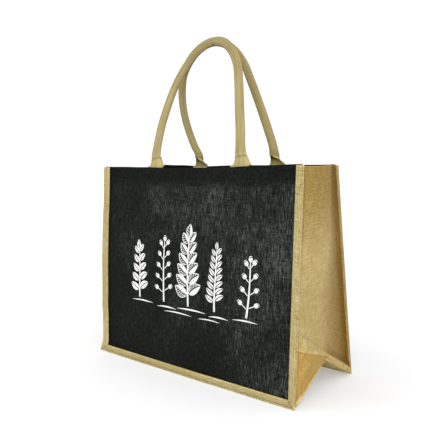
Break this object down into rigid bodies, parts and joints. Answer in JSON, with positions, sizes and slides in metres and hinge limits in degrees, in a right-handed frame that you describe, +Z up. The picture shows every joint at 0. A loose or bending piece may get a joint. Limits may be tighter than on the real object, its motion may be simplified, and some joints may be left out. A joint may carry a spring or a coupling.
{
  "type": "shopping bag",
  "caption": "Upright rectangular jute shopping bag, standing open and empty, with gusseted sides, a base creased upwards and looped webbing handles.",
  "frame": {"origin": "bottom centre of the bounding box, on the surface the bag stands on", "axes": "+Z up; the front panel faces -Y; +X to the right when looking at the front panel"},
  "size_m": [0.4748, 0.1966, 0.5503],
  "materials": {
    "dyed_jute": "matte coarse plain weave, dyed near black",
    "natural_jute": "matte coarse plain weave, undyed golden tan",
    "cotton_web": "matte fine webbing, undyed tan"
  },
  "bodies": {
    "root": {"front_panel": "dyed_jute", "back_panel": "dyed_jute", "side_strip": "natural_jute", "handle_front": "cotton_web", "handle_back": "cotton_web"}
  },
  "joints": []
}
